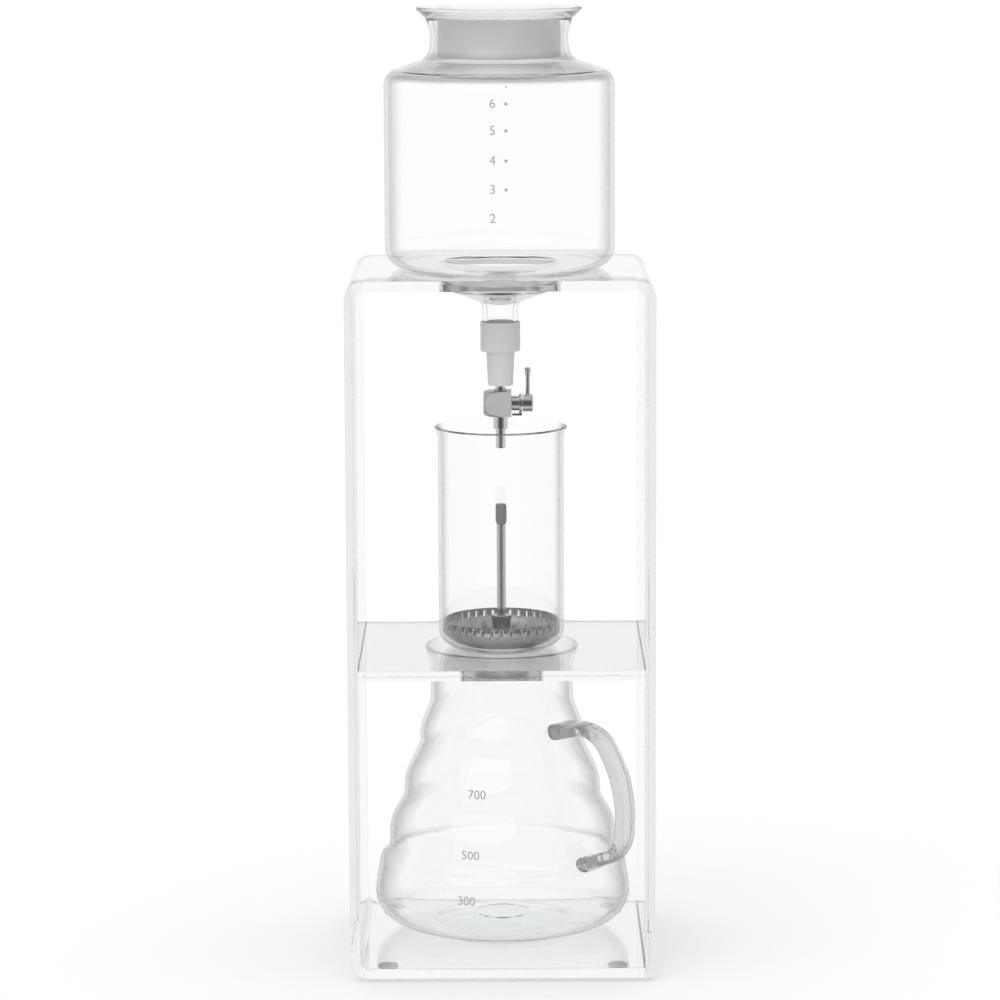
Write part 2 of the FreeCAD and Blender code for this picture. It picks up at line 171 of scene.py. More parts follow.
def clear(name, ior, rim_shade, rim_shade_start, middle, waves=(), shade_band=()):
    """A clear material of hex middle, whose outlines get a painted grey shade that darkens to hex rim_shade
    from rim_shade_start on.

    waves is the (size, height) in mm of its surface. shade_band is a band of painted grey shade round
    the piece, where one looks through more of the wall: its height and half its width in mm, and a hex
    colour.
    """
    material, tree = blank(name)
    facing = add(tree, "LayerWeight", {"Blend": 0.5}).outputs["Facing"]
    edge = between(tree, facing, 0.0, 1.0, start=rim_shade_start, end=1.0)
    normal = add(tree, "NewGeometry").outputs["Normal"]
    upward = add(tree, "SeparateXYZ", {"Vector": normal}).outputs["Z"]
    steep = between(tree, upward, 1.0, 0.0, start=LEVEL_START, end=LEVEL_END)
    share = add(tree, "Math", {0: edge, 1: steep}, operation="MULTIPLY").outputs["Value"]
    # the outline's grey is painted shade, mixed into the base colour
    colour = tinted(tree, share, middle, rim_shade)
    # the shoulder's band of painted grey shade
    if shade_band:
        colour = banded(tree, colour, *shade_band)
    shader = add(tree, "BsdfPrincipled", {
        "Base Color": colour, "IOR": ior, "Transmission Weight": 1.0, "Roughness": 0.0,
    })
    if waves:
        size, height = waves
        tree.links.new(hills(tree, mottle(tree, size), height), shader.inputs["Normal"])
    add(tree, "OutputMaterial", {"Surface": shader.outputs["BSDF"]})
    return material


# %% [markdown]
# Borosilicate glass, blown in a mould and fire-polished: its faces wander by a few hundredths of a
# millimetre over the width of a thumb, which makes reflections swim slightly. The bowl's slanted
# shoulder, where one looks through more of the wall, gets a band of painted light grey shade. The
# rippled server's painted outline shade starts further in, so its flanks shade off sooner. The pressed
# lid is thick, and greyer all over. The handle is a solid rod, greyer still, and the spots where it was
# pressed on are puckered, with two dark knots of painted shade.

# %% Glass
GLASS_IOR = 1.473
BLOWN = (22, 0.03)                              # size and height of the waves in a blown face, mm
PUCKERED = (2.2, 0.3)                           # the same where the rod was pressed on
SHOULDER_SHADE = (440.5, 4.5, "#DCDDDD")              # height, half width and colour of the bowl's band of painted shade

# each glass below gets an outline of painted grey shade from rim_shade_start on
glass = clear("borosilicate_glass_blown", GLASS_IOR, "#3C3E3E", 0.50, "#FDFDFD", BLOWN)
# the bowl's glass carries the band of painted shade on its shoulder
bowl_shaded_glass = clear("borosilicate_glass_bowl_blown", GLASS_IOR, "#3C3E3E", 0.50, "#FDFDFD", BLOWN,
                    SHOULDER_SHADE)
lid_glass = clear("borosilicate_glass_pressed", GLASS_IOR, "#404242", 0.30, "#E8EAEA", BLOWN)
# the server's painted outline shade starts further in, so its flanks are shaded wider
ripple_glass = clear("borosilicate_glass_mould_blown", GLASS_IOR, "#505252", 0.41, "#FAFBFB", BLOWN)
rod_glass = clear("borosilicate_rod_flame_bent", GLASS_IOR, "#4A4C4C", 0.22, "#E0E1E1")
# the pressed-on spots are painted dark grey: two knots of painted shade on their puckered bumps
weld_shaded_glass = clear("borosilicate_rod_pressed_on", GLASS_IOR, "#1D1F1F", 0.12, "#747676", PUCKERED)
print("glass:", glass.name, bowl_shaded_glass.name, lid_glass.name, ripple_glass.name, rod_glass.name)

# %% [markdown]
# Acrylic sheet is flat, so it has no waves. The shelf's is extruded, and a shade greyer than the
# stand's. Sawn edges are polished but never quite clear. A level edge pipes light from the white room
# behind, while an upright one sees the shaded inside of the stand, so it is painted a shade greyer. The
# walls of the holes are left as milled, so they scatter about half of the light, and look grey.

# %% Acrylic
ACRYLIC_IOR = 1.49

acrylic = clear("acrylic_sheet_polished", ACRYLIC_IOR, "#A6A8A8", 0.60, "#F1F2F2")
shelf_acrylic = clear("acrylic_sheet_extruded", ACRYLIC_IOR, "#A6A8A8", 0.60, "#E6E7E7")


def sawn_edge(name, low, high, clearness=1.0):
    """A cut edge of acrylic from hex low to high: saw marks run across it, flattened by polishing."""
    material, tree = blank(name)
    marks = mottle(tree, 4.0, stretch=(1, 8, 8))    # 0.3 mm saw marks, drawn coarser so that they show
    shader = add(tree, "BsdfPrincipled", {
        "Base Color": tinted(tree, marks, low, high),
        "Roughness": between(tree, marks, 0.03, 0.08),
        "IOR": ACRYLIC_IOR, "Transmission Weight": clearness,
    })
    add(tree, "OutputMaterial", {"Surface": shader.outputs["BSDF"]})
    return material


level_edge = sawn_edge("acrylic_edge_level", "#F2F4F4", "#FAFBFB")
# the upright edges are painted a shade greyer than the level ones
upright_edge_shaded = sawn_edge("acrylic_edge_upright_painted_shade", "#E2E4E4", "#EDEFEF")
hole_edge = sawn_edge("acrylic_edge_milled", "#D8DADA", "#E6E8E8", clearness=0.45)
print("acrylic:", acrylic.name, shelf_acrylic.name, level_edge.name, upright_edge_shaded.name, hole_edge.name)

# %% [markdown]
# ## Cloudy materials
# The lid's plug is ground with fine grit so that it seats without sticking: light still passes, but
# it is scattered, so the plug reads as pale grey. The silicone joint and the feet are milky all
# through, so the light scatters inside them before it comes out again.

# %% Cloudy materials
def ground_glass():
    """The lid's plug: ground with grit, so that light is scattered on its way through."""
    material, tree = blank("glass_ground_with_fine_grit")
    grit = mottle(tree, 0.8, detail=6.0)            # 0.05 mm grit, drawn coarser so that it shows
    shader = add(tree, "BsdfPrincipled", {
        "Base Color": tinted(tree, grit, "#F6F7F7", "#FCFCFC"),
        "Roughness": 0.5, "IOR": GLASS_IOR, "Transmission Weight": 0.4,
        "Normal": hills(tree, grit, 0.02),
    })
    add(tree, "OutputMaterial", {"Surface": shader.outputs["BSDF"]})
    return material


def milky(name, ior, low, high, clearness, inside, depth):
    """A rubber from hex low to high. The share inside scatters about depth mm under its surface."""
    material, tree = blank(name)
    cloud = mottle(tree, 6.0, detail=3.0)
    shader = add(tree, "BsdfPrincipled", {
        "Base Color": tinted(tree, cloud, low, high),
        "Roughness": between(tree, cloud, 0.32, 0.42),
        "IOR": ior, "Transmission Weight": clearness,
        "Subsurface Weight": inside, "Subsurface Radius": (1, 1, 1), "Subsurface Scale": depth * MM,
        "Normal": hills(tree, mottle(tree, 0.5), 0.01),
    })
    add(tree, "OutputMaterial", {"Surface": shader.outputs["BSDF"]})
    return material


frosted = ground_glass()
silicone = milky("silicone_rubber_moulded", 1.41, "#F8F9F9", "#FCFDFD",
                 clearness=0.05, inside=0.3, depth=1.0)
bumper = milky("polyurethane_bumper_moulded", 1.50, "#F9F9F9", "#FDFDFD",
               clearness=0.0, inside=1.0, depth=4.0)
print("cloudy materials:", frosted.name, silicone.name, bumper.name)

# %% [markdown]
# ## Metals and plastics
# Every metal here is one recipe with its own numbers: a base colour, how rough the finishing left it,
# and a grain. Polished nickel-chrome mirrors the room. The valve's body is tumbled and plated satin,
# so it shows one even grey. The strainer's sheet is rolled, and keeps a fine grain. In a white tent a
# polished round part has a dark core where it faces the eye, for there it mirrors the dark end of the
# room behind the viewer. Here that core is a painted reflection: Layer Weight paints it into the base
# colour, by how squarely the surface faces the eye.
#
# The knob is moulded polypropylene with a fine dull skin. The seals are black rubber. The ink of the
# scales is fired on, so it is rough, and reads as flat grey from every side.

# %% Metal and plastic materials
PAINTED_CORE_START, PAINTED_CORE_END = 0.02, 0.16               # the painted dark reflection fades out as a face turns away this far


def solid_finish(name, colours, metallic, roughness, size, height, stretch=(1, 1, 1), core=None):
    """An opaque finish with a grain, and for polished round parts a dark core, a painted reflection.

    colours is a pair of hex values and roughness one of numbers, and the grain goes from the first to
    the second. size and height in mm are those of the grain.
    """
    material, tree = blank(name)
    grain = mottle(tree, size, stretch, detail=4.0)
    colour = tinted(tree, grain, *colours)
    # the core is a painted dark reflection, mixed into the base colour
    if core:
        facing = add(tree, "LayerWeight", {"Blend": 0.5}).outputs["Facing"]
        share = between(tree, facing, 1.0, 0.0, start=PAINTED_CORE_START, end=PAINTED_CORE_END)
        stops = {"Fac": share, "Color1": colour, "Color2": linear(core)}
        colour = add(tree, "MixRGB", stops).outputs["Color"]
    shader = add(tree, "BsdfPrincipled", {
        "Base Color": colour,
        "Metallic": metallic,
        "Roughness": between(tree, grain, *roughness, start=0.3, end=0.7),
        "Normal": hills(tree, grain, height),
    })
    add(tree, "OutputMaterial", {"Surface": shader.outputs["BSDF"]})
    return material


# its core colour is a painted dark reflection
chrome = solid_finish("nickel_chrome_plate_polished", ("#C9CACB", "#D6D7D8"), 1.0, (0.04, 0.10), 3.0, 0.002,
                      core="#4E4F50")
satin = solid_finish("nickel_plate_satin", ("#B4B6B6", "#C0C2C2"), 1.0, (0.34, 0.46), 0.4, 0.006)
stainless = solid_finish("stainless_sheet_pressed", ("#8E8F90", "#A4A5A6"), 1.0, (0.22, 0.38), 0.5, 0.004)
# its core colour is a painted dark reflection
steel_rod = solid_finish("stainless_rod_polished", ("#B4B5B6", "#C2C3C4"), 1.0, (0.05, 0.12), 0.6, 0.002,
                         stretch=(1, 1, 12), core="#5A5B5C")
knob_plastic = solid_finish("polypropylene_moulded", ("#737576", "#7F8182"), 0.0, (0.38, 0.52), 0.5, 0.02)
seal_rubber = solid_finish("nitrile_rubber_moulded", ("#1E1E1F", "#29292A"), 0.0, (0.50, 0.65), 0.6, 0.01)
ink = solid_finish("ceramic_ink_fired_on", ("#ACADAE", "#B8B9BA"), 0.0, (0.60, 0.75), 0.4, 0.004)
print("opaque materials:", len([chrome, satin, stainless, steel_rod, knob_plastic, seal_rubber, ink]))

# %% [markdown]
# ## Helpers for shapes
# A glass blower turns the piece while shaping it, so most shapes here start as one drawn line that is
# spun round an axis. Corners of the line are rounded first, with Bevel on its vertices.

# %% Draw a line
TURN_PER_SEGMENT = math.radians(6)


def draw(bm, corners, closed=False, turn=TURN_PER_SEGMENT):
    """Join corners (across, up) in mm in the XZ plane. A third number rounds that corner."""
    points = [bm.verts.new((corner[0] * MM, 0, corner[1] * MM)) for corner in corners]
    ends = points[1:] + points[:1] if closed else points[1:]
    for start, end in zip(points, ends):
        bm.edges.new((start, end))
    for point, corner in zip(points, corners):
        if len(corner) < 3:
            continue
        arms = [edge.other_vert(point).co - point.co for edge in point.link_edges]
        half_angle = arms[0].angle(arms[1]) / 2
        segments = max(2, math.ceil((math.pi - 2 * half_angle) / turn))
        bmesh.ops.bevel(bm, geom=[point], affect="VERTICES", offset=corner[2] * MM / math.tan(half_angle),
                        offset_type="OFFSET", segments=segments, profile=0.5, material=-1)


print("a rounded corner turns by at most", round(math.degrees(TURN_PER_SEGMENT)), "degrees a step")

# %% [markdown]
# After a spin, points that meet on the axis are merged and the faces are turned outwards. Only then
# does the wall get its thickness, inwards, so that both skins point away from the glass. Last, every
# sharp edge is rounded, as a flame or a polishing wheel would leave it.

# %% Spin a line, round sharp edges
def spin(bm, steps=160):
    """Spin a line round Z, and merge the points that meet on the axis."""
    bmesh.ops.spin(bm, geom=bm.verts[:] + bm.edges[:], cent=(0, 0, 0), axis=(0, 0, 1),
                   angle=2 * math.pi, steps=steps, use_merge=True)
    bmesh.ops.remove_doubles(bm, verts=bm.verts, dist=0.001 * MM)
    bmesh.ops.recalc_face_normals(bm, faces=bm.faces)


def face_outwards(bm):
    """Turn an open shell round if its widest face points at the axis."""
    widest = max(bm.faces, key=lambda face: face.calc_center_median().xy.length)
    if widest.normal.dot(Vector((*widest.calc_center_median().xy, 0))) < 0:
        bmesh.ops.reverse_faces(bm, faces=bm.faces)


def ease_edges(bm, width, segments=3, angle=35):
    """Round every edge that turns by more than angle degrees."""
    sharp = [edge for edge in bm.edges if edge.is_manifold and edge.calc_face_angle() > math.radians(angle)]
    bmesh.ops.bevel(bm, geom=sharp, affect="EDGES", offset=width * MM, offset_type="OFFSET",
                    segments=segments, profile=0.5, clamp_overlap=True, material=-1)


# %% [markdown]
# A finished piece is smooth-shaded. Weighted Normal then lets the big faces decide the shading next
# to a small rounded edge, so that flat walls stay flat to the eye and refract cleanly. Thin blown
# glass lets nearly all light through, so it casts no shadow here. The thicker stand does.

# %% Finish a piece
CASTS_NO_SHADOW = {glass, bowl_shaded_glass, ripple_glass, rod_glass}


def piece(bm, name, body, materials, stands_for=(), at=(0, 0, 0)):
    """Make the mesh a finished piece of the object: its place, shading, materials and body."""
    bmesh.ops.translate(bm, verts=bm.verts, vec=at)
    for face in bm.faces:
        face.smooth = True
    mesh = bpy.data.meshes.new(name)
    bm.to_mesh(mesh)
    bm.free()
    if "custom_normal" in mesh.attributes:          # a copied node's own shading, from before its edges
        mesh.attributes.remove(mesh.attributes["custom_normal"])
    made = bpy.data.objects.new(name, mesh)
    bpy.context.scene.collection.objects.link(made)
    made.visible_shadow = CASTS_NO_SHADOW.isdisjoint(materials)
    for material in materials:
        mesh.materials.append(material)
    shading = made.modifiers.new("even_shading", "WEIGHTED_NORMAL")
    shading.keep_sharp = True
    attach(made, body)
    if stands_for:
        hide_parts(*stands_for)
    size = [round(edge / MM, 1) for edge in made.dimensions]
    print(name, size, "mm,", len(mesh.polygons), "faces")
    return made


# %% [markdown]
# ## Where things are
# Levels and axes come from the frame, so that every piece sits exactly where the engineering model
# has it. The three vessels of the tower share one upright axis, and the server stands behind it.

# %% Axes and levels
def middle(node):
    """The upright axis through a node: its x and y, with z 0."""
    low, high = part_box(node)
    return Vector(((low.x + high.x) / 2, (low.y + high.y) / 2, 0))


def foot(node):
    """The level of a node's lowest point."""
    return Vector((0, 0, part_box(node)[0].z))


tower = Vector((0, middle("reservoir_bowl").y, 0))
server_axis = Vector((0, middle("server_glass").y, 0))
print("tower axis at y", round(tower.y / MM, 1), "mm, server axis at y", round(server_axis.y / MM, 1), "mm")

# %% [markdown]
# ## The stand
# One long strip of clear acrylic, 5 mm thick, is bent three times over a hot wire and glued to itself
# at the bottom right. It is drawn as one line seen from the front, pulled to its depth, and given its
# thickness inwards.

# %% Stand
stand_low, stand_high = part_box("stand_frame")
SHEET = 5.0
BEND = 9.0
GLUE_LINE = 0.15


def bent_sheet():
    """The strip of acrylic as one thick bent sheet, its glue line at the bottom right."""
    half, bottom, top = (value / MM for value in (stand_high.x, stand_low.z, stand_high.z))
    bm = bmesh.new()
    draw(bm, [(half - SHEET - GLUE_LINE, bottom), (-half, bottom, BEND), (-half, top, BEND),
              (half, top, BEND), (half, bottom)])
    pulled = bmesh.ops.extrude_edge_only(bm, edges=bm.edges)["geom"]
    moved = [part for part in pulled if isinstance(part, bmesh.types.BMVert)]
    bmesh.ops.translate(bm, verts=moved, vec=(0, stand_high.y - stand_low.y, 0))
    bmesh.ops.translate(bm, verts=bm.verts, vec=(0, stand_low.y, 0))
    bmesh.ops.recalc_face_normals(bm, faces=bm.faces)
    top_face = max(bm.faces, key=lambda face: face.calc_center_median().z)
    if top_face.normal.z < 0:
        bmesh.ops.reverse_faces(bm, faces=bm.faces)
    bmesh.ops.solidify(bm, geom=bm.faces[:], thickness=SHEET * MM)
    return bm


# %% [markdown]
# A round cutter goes through the sheet where a vessel passes it. Boolean is a modifier, so the helper
# gives both meshes to short-lived objects, and reads back what the modifier leaves.

# %% Cut with a Boolean
CUTTER_DEPTH = 20.0


def carved(bm, cutter):
    """Cut one mesh out of another, and return what is left."""
    parts = []
    for shape in (bm, cutter):
        mesh = bpy.data.meshes.new("part")
        shape.to_mesh(mesh)
        shape.free()
        part = bpy.data.objects.new("part", mesh)
        bpy.context.scene.collection.objects.link(part)
        parts.append(part)
    cut = parts[0].modifiers.new("cut", "BOOLEAN")
    cut.object = parts[1]
    cut.solver = "EXACT"
    bpy.context.view_layer.update()
    left = bmesh.new()
    left.from_object(parts[0], bpy.context.evaluated_depsgraph_get())
    for part in parts:
        bpy.data.objects.remove(part)
    return left


def hole(axis, radius, height):
    """A round cutter of radius mm, upright on an axis, with its middle at a height."""
    bm = bmesh.new()
    place = Matrix.Translation((axis.x, axis.y, height))
    bmesh.ops.create_cone(bm, cap_ends=True, segments=160, radius1=radius * MM, radius2=radius * MM,
                          depth=CUTTER_DEPTH * MM, matrix=place)
    return bm


# %% [markdown]
# The walls of the holes and the sawn faces at the front and back get their edge materials, and the
# flat faces keep the clear one. The faces are told apart by where they point and where they lie.

# %% Tell the cut faces apart
LEVEL_EDGE, UPRIGHT_EDGE, HOLE_EDGE = 1, 2, 3    # a piece's first material is that of its flat faces
EDGES = {LEVEL_EDGE: level_edge, UPRIGHT_EDGE: upright_edge_shaded, HOLE_EDGE: hole_edge}


def mark_cut_faces(bm, axis, radius):
    """Give the edge materials to the front, the back and the wall of the hole."""
    for face in bm.faces:
        place = face.calc_center_median() - axis
        in_hole = place.xy.length < (radius + 1) * MM and abs(face.normal.z) < 0.5
        upright = abs(place.x) > stand_high.x - SHEET * MM
        if in_hole:
            face.material_index = HOLE_EDGE
        elif abs(face.normal.y) > 0.7:
            # upright edges get the material with painted shade
            face.material_index = UPRIGHT_EDGE if upright else LEVEL_EDGE


print("a sheet has", len(EDGES), "kinds of cut edge")

# %% [markdown]
# The bowl's well hangs in the hole at the top, and the dripper's step in the hole of the shelf. The
# shelf is glued in between the uprights. Its ends stop a hair short of them, because two skins of
# clear material that lie in one another come out black.

# %% Finish the stand and its shelf
BOWL_HOLE = 29.5
SHELF_HOLE = 20.5
GLUE_GAP = 0.05

stand = carved(bent_sheet(), hole(tower, BOWL_HOLE, stand_high.z))
mark_cut_faces(stand, tower, BOWL_HOLE)
ease_edges(stand, 0.35, segments=2)
piece(stand, "bent_stand", "stand", [acrylic, *EDGES.values()], ["stand_frame"])

shelf_low, shelf_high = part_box("middle_shelf")
board = bmesh.new()
shelf_size = Matrix.Diagonal((*(shelf_high - shelf_low - Vector((2 * GLUE_GAP * MM, 0, 0))), 1))
bmesh.ops.create_cube(board, matrix=Matrix.Translation((shelf_low + shelf_high) / 2) @ shelf_size)
board = carved(board, hole(tower, SHELF_HOLE, shelf_high.z))
mark_cut_faces(board, tower, SHELF_HOLE)
ease_edges(board, 0.3, segments=2)
piece(board, "glued_shelf", "stand", [shelf_acrylic, *EDGES.values()], ["middle_shelf"])

# %% [markdown]
# ## The water bowl
# The bowl is blown into a turning mould: a wide body, a shoulder, a waisted neck with a flared lip,
# and below it a well that drops through the stand and narrows to a tube. Heights are above the end
# of the tube.

# %% Water bowl
BOWL_WALL = 2.2
LIP = 160.0
LIP_RADIUS = 35.8
SIDE_RADIUS = 56.2
WELL_RADIUS = 27.3
WELL_TOP = 39.0
TUBE_RADIUS = 8.8
bowl_profile = [
    (LIP_RADIUS, LIP), (32.4, 150.0, 18), (35.4, 141.0, 5), (SIDE_RADIUS, 133.5, 8),
    (SIDE_RADIUS, WELL_TOP, 10.5), (WELL_RADIUS, WELL_TOP, 1.5), (WELL_RADIUS, 28.5, 5),
    (TUBE_RADIUS, 21.5, 3.5), (TUBE_RADIUS, 0),
]
FINE_STEPS = 240                                # a thin clear wall shows every flat on it
RIM_ROUND = 0.8


def blown(profile, wall):
    """Spin an open profile of mm corners and give it a wall, with fire-polished rims."""
    bm = bmesh.new()
    draw(bm, profile)
    spin(bm, steps=FINE_STEPS)
    face_outwards(bm)
    bmesh.ops.solidify(bm, geom=bm.faces[:], thickness=wall * MM)
    ease_edges(bm, RIM_ROUND)
    return bm


bowl = blown(bowl_profile, BOWL_WALL)
for point in bowl.verts:                        # the lip is ground flat for the lid
    point.co.z = min(point.co.z, LIP * MM)
at_bowl = tower + foot("reservoir_bowl")
bowl_glass = piece(bowl, "water_bowl", "reservoir", [bowl_shaded_glass], ["reservoir_bowl"], at_bowl)

# %% [markdown]
# ## The lid
# A thick pressed disc with a wedge-shaped edge, and under it a hollow plug that is ground to slide
# into the neck. The ground wall gets the frosted material, and the disc stays clear.

# %% Lid
LID_RIM = 40.2
LID_TOP = 25.2
DISC = 20.0                                     # the underside of the disc, above the plug's lower end
PLUG = 29.9
PLUG_WALL = 2.2
HOLLOW = 22.2
lid = bmesh.new()
draw(lid, [(0, LID_TOP), (LID_RIM, LID_TOP), (LID_RIM, 23.8), (36.2, DISC), (PLUG, DISC), (PLUG, 0),
           (PLUG - PLUG_WALL, 0), (PLUG - PLUG_WALL, HOLLOW), (0, HOLLOW)])
spin(lid)
ease_edges(lid, 0.5, angle=30)
for face in lid.faces:
    centre = face.calc_center_median()
    if centre.z < (DISC - 0.5) * MM and centre.xy.length > (PLUG - 1) * MM:
        face.material_index = 1
at_lid = tower + foot("reservoir_lid")
piece(lid, "glass_lid", "lid", [lid_glass, frosted], ["reservoir_lid"], at_lid)

# %% [markdown]
# ## The dripper
# A straight beaker with a flared, rounded rim. Its floor steps down into the hole of the shelf, which
# centres it, and ends in a short spout.

# %% Dripper
DRIPPER_WALL = 1.8
BEAKER = 31.05
STEP = 19.2
SPOUT = 4.0
dripper = blown([(32.65, 115.2), (BEAKER, 110.7, 4), (BEAKER, 6.0, 9), (STEP, 6.0, 1.2),
                 (STEP, 2.6, 1.2), (SPOUT, 1.2, 0.8), (SPOUT, 0)], DRIPPER_WALL)
at_dripper = tower + foot("dripper_glass")
piece(dripper, "dripper_beaker", "dripper", [glass], ["dripper_glass"], at_dripper)

# %% [markdown]
# ## The server
# Three soft ripples run round its shoulder and stiffen the thin wall. The profile goes from the dent
# in the middle of the bottom, where the glass stands on a ring, up to the flared rim.

# %% Server
SERVER_WALL = 2.0
server_profile = [
    (0, 4.6), (13.0, 4.6, 4), (36.0, 0, 8), (63.9, 7.5, 14), (63.9, 22.0, 40), (61.3, 36.4, 6.5),
    (56.9, 41.0, 6.5), (56.5, 55.0, 18), (49.5, 67.3, 6), (48.9, 78.0, 18), (41.0, 94.5, 6),
    (41.4, 101.5, 18), (35.7, 116.0, 9), (35.7, 131.3, 8), (38.4, 139.3),
]
server = blown(server_profile, SERVER_WALL)
at_server = server_axis + foot("server_glass")
server_body = piece(server, "rippled_server", "server", [ripple_glass], ["server_glass"],
                    at_server)

# %% [markdown]
# ## The server's handle
# A flattened glass rod, softened in a flame, bent and pressed on at two spots. Its path is drawn as a
# line from one root to the other, and read back as evenly spaced places that face along it. It turns
# by only a degree and a half a step, as a clear rod shows every flat on it.

# %% Path of the handle
PATH_TURN = math.radians(1.5)
PATH_SPACING = 1.5
handle_path = [(34.0, 103.9), (63.8, 110.0, 18), (81.8, 81.4, 47.5), (80.1, 49.6, 15), (50.0, 37.2)]


def path_places(corners):
    """Matrices about PATH_SPACING mm apart on a bent line in the XZ plane, each facing along it."""
    bm = bmesh.new()
    draw(bm, corners, turn=PATH_TURN)
    bmesh.ops.remove_doubles(bm, verts=bm.verts, dist=0.001 * MM)
    start = min((v for v in bm.verts if len(v.link_edges) == 1), key=lambda v: v.co.x)
    points, last = [start.co.copy()], None
    current = start
    while True:
        onward = [edge for edge in current.link_edges if edge is not last]
        if not onward:
            break
        last = onward[0]
        current = last.other_vert(current)
        steps = max(1, round(last.calc_length() / (PATH_SPACING * MM)))
        begin = points[-1]
        points += [begin.lerp(current.co, (i + 1) / steps) for i in range(steps)]
    bm.free()
    places = []
    for before, point, after in zip([points[0]] + points, points, points[1:] + [points[-1]]):
        along = (after - before).normalized()
        turn = Matrix((along.cross(Vector((0, 1, 0))), Vector((0, 1, 0)), along)).transposed()
        places.append(Matrix.Translation(point) @ turn.to_4x4())
    return places


print("the handle's path has", len(path_places(handle_path)), "places")

# %% [markdown]
# The rod's rounded section is carried along the path: at each step the ring of edges at the open end is
# extruded, moved and turned to the next place. It swells at both ends, where the hot rod was pressed
# against the wall.

# %% Carry the section along the path
HANDLE_THICKNESS = 5.4
HANDLE_WIDTH = 12.2
HANDLE_ROUND = 2.4
SWELL = 0.55                                    # how much thicker the rod is at its very ends
SWELL_LENGTH = 0.085                            # how fast that dies away, as a share of its length


def swell(share):
    """How many times its size the rod has, as share goes from 0 to 1 along it."""
    near_end = min(share, 1 - share)
    return 1 + SWELL * math.exp(-(near_end / SWELL_LENGTH) ** 2)


def carried(places, thickness, width, corner):
    """Carry a rounded rectangle through the places, and close both ends."""
    bm = bmesh.new()
    x, y = thickness / 2, width / 2
    draw(bm, [(x, y, corner), (-x, y, corner), (-x, -y, corner), (x, -y, corner)], closed=True)
    bmesh.ops.rotate(bm, verts=bm.verts, cent=(0, 0, 0), matrix=Matrix.Rotation(-math.pi / 2, 3, "X"))
    last = places[0] @ Matrix.Diagonal((swell(0), swell(0), 1, 1))
    bmesh.ops.transform(bm, matrix=last, verts=bm.verts)
    ring = bm.edges[:]
    for number, place in enumerate(places[1:], 1):
        grown = swell(number / (len(places) - 1))
        now = place @ Matrix.Diagonal((grown, grown, 1, 1))
        step = bmesh.ops.extrude_edge_only(bm, edges=ring)["geom"]
        moved = {part for part in step if isinstance(part, bmesh.types.BMVert)}
        ring = [part for part in step
                if isinstance(part, bmesh.types.BMEdge) and moved.issuperset(part.verts)]
        bmesh.ops.transform(bm, matrix=now @ last.inverted(), verts=list(moved))
        last = now
    bmesh.ops.holes_fill(bm, edges=bm.edges, sides=0)
    return bm


print("the rod swells to", round(swell(0), 2), "times its size at its ends")

# %% [markdown]
# The rod's ends run into the server, and are cut back to its outer skin. The cutter is the server's
# own outline spun as a solid, a hair larger, so that the two skins never lie in one another. The
# faces nearest the wall are those of the pressed ends.

# %% Cut the handle to the server's skin
HANDLE_TURN = math.radians(-42.0)
HAIR = 1.0005                                   # 0.03 mm at the handle's roots
ROOTS = ((80.0, 46.0), (0.0, 62.5))             # above this height, within this radius, mm

core = bmesh.new()
draw(core, server_profile + [(0, server_profile[-1][1])])
spin(core, steps=FINE_STEPS)
bmesh.ops.scale(core, verts=core.verts, vec=(HAIR, HAIR, 1))
handle = carried(path_places(handle_path), HANDLE_THICKNESS, HANDLE_WIDTH, HANDLE_ROUND)
bmesh.ops.recalc_face_normals(handle, faces=handle.faces)
bmesh.ops.rotate(handle, verts=handle.verts, cent=(0, 0, 0), matrix=Matrix.Rotation(HANDLE_TURN, 3, "Z"))
handle = carved(handle, core)
ease_edges(handle, 0.25, segments=2)
for face in handle.faces:
    centre = face.calc_center_median()
    reach = next(radius for height, radius in ROOTS if centre.z > height * MM)
    face.material_index = int(centre.xy.length < reach * MM)
handle_finish = [rod_glass, weld_shaded_glass]
piece(handle, "pressed_on_handle", "server", handle_finish, ["server_handle"], at_server)

# %% [markdown]
# ## Small turned and pressed parts
# The small parts have the right shapes in the frame already, but each edge there is a knife edge.
# Real edges are broken by a file, a tumbler or a mould, and a tiny rounded edge catches the light. So
# each is copied, its triangles are merged back into flat faces, and its sharp edges are rounded.

# %% Soften a node of the frame
def softened(node, body, material, width, segments=2):
    """A finished copy of a node with its sharp edges rounded by width mm."""
    bm = bmesh.new()
    bm.from_mesh(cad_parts[node].data)
    bmesh.ops.remove_doubles(bm, verts=bm.verts, dist=0.001 * MM)
    bmesh.ops.dissolve_limit(bm, angle_limit=math.radians(0.5), verts=bm.verts, edges=bm.edges)
    if width:
        ease_edges(bm, width, segments)
    for face in bm.faces:
        face.material_index = 0
    return piece(bm, node + "_finished", body, [material], [node])


# %% [markdown]
# The valve: a square body plated satin, and around it turned parts in polished nickel-chrome. Its
# plug turns with the hub, the lever and the screw, so those ride on a body of their own.

# %% Valve and joint
softened("silicone_joint", "reservoir", silicone, 0.3)
softened("valve_body", "reservoir", satin, 0.35, segments=3)
STILL_CHROME = {"valve_inlet": 0.15, "gland_nut": 0.25, "stem_washer": 0.2, "outlet_nozzle": 0.2}
for node, width in STILL_CHROME.items():
    softened(node, "reservoir", chrome, width)
TURNING_CHROME = {"lever_hub": 0.25, "lever_arm": 0.2, "lever_screw": 0.2}
for node, width in TURNING_CHROME.items():
    softened(node, "valve_key", chrome, width)
softened("valve_plug", "valve_key", satin, 0.1)
softened("plug_seals", "valve_key", seal_rubber, 0.15)

# %% [markdown]
# The strainer: a pressed stainless cup with a slotted floor and wall, and a polished rod to lift it
# by. Its sheet is so thin that only the shading is cleaned up there, and the solid parts are softened.

